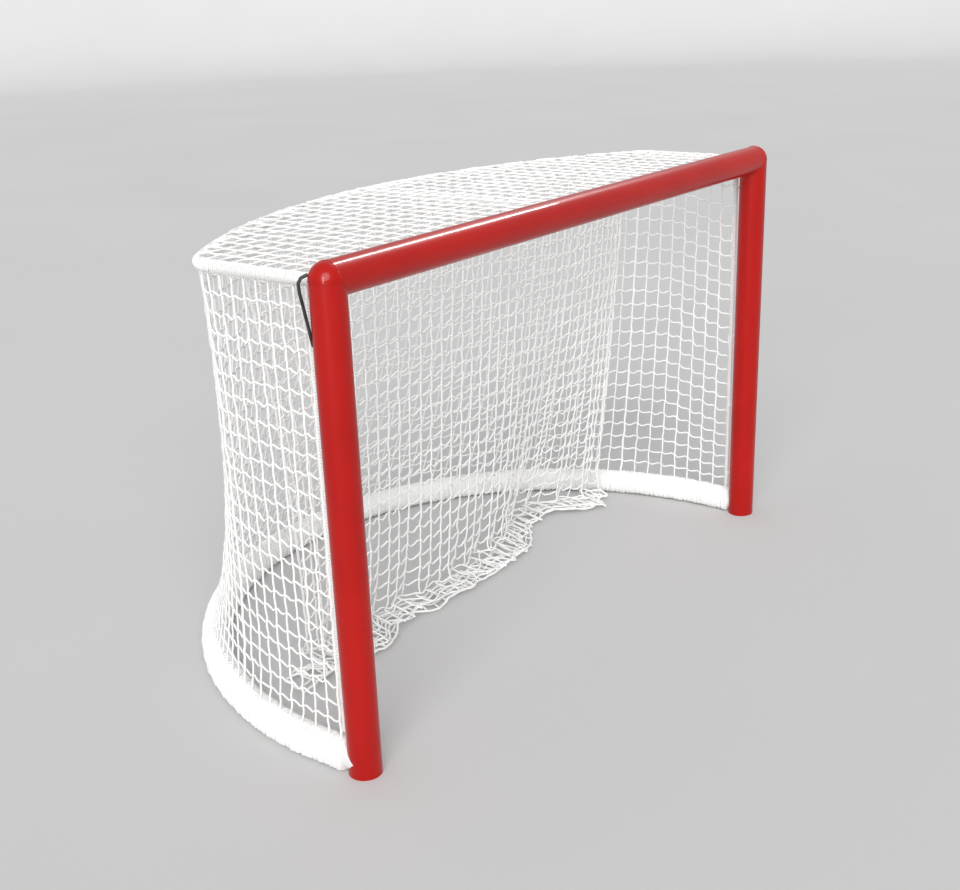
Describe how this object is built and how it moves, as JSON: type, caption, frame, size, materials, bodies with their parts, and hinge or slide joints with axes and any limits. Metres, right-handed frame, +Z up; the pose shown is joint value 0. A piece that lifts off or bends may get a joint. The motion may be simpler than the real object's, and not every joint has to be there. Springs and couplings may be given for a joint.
{
  "type": "hockey goal",
  "caption": "Free-standing hockey goal: red tube mouth frame, white base ring and top frame, laced outer net and a hanging inner net that stops the ball.",
  "frame": {"origin": "middle of the goal's footprint, on the floor", "axes": "+X along the crossbar, to the right for a player facing the mouth; the mouth faces -Y and the net is behind it; +Z up"},
  "size_m": [1.8596, 1.0852, 1.125],
  "materials": {
    "red_paint": "gloss powder coat",
    "white_paint": "satin powder coat",
    "bare_steel": "drawn tube",
    "black_wire": "satin",
    "net_cord": "braided polyamide cord",
    "inner_cord": "braided polyamide cord",
    "wound_net": "braided cord wound tight",
    "lacing_cord": "braided polyamide cord"
  },
  "bodies": {
    "root": {"left_post": "red_paint", "right_post": "red_paint", "crossbar": "red_paint", "left_corner_cap": "red_paint", "right_corner_cap": "red_paint", "left_foot_plate": "red_paint", "right_foot_plate": "red_paint", "left_base_tube": "white_paint", "right_base_tube": "white_paint", "base_joint_spigot": "bare_steel", "left_top_arm": "white_paint", "right_top_arm": "white_paint", "top_bow": "white_paint", "curtain_bar": "white_paint", "front_brace": "white_paint", "rear_brace": "white_paint", "left_lacing_rod": "white_paint", "right_lacing_rod": "white_paint", "crossbar_lacing_rod": "white_paint", "left_rod_lugs": "white_paint", "right_rod_lugs": "white_paint", "crossbar_rod_lugs": "white_paint", "left_net_hook": "black_wire", "right_net_hook": "black_wire", "left_side_net": "net_cord", "right_side_net": "net_cord", "back_net": "net_cord", "roof_net": "net_cord", "inner_net": "inner_cord", "left_seam_cord": "lacing_cord", "right_seam_cord": "lacing_cord", "left_base_wrap": "wound_net", "rear_base_wrap": "wound_net", "right_base_wrap": "wound_net", "left_arm_lashing": "lacing_cord", "right_arm_lashing": "lacing_cord", "bow_lashing": "lacing_cord", "left_rod_lashing": "lacing_cord", "right_rod_lashing": "lacing_cord", "crossbar_lashing": "lacing_cord", "inner_net_lashing": "lacing_cord"}
  },
  "joints": []
}
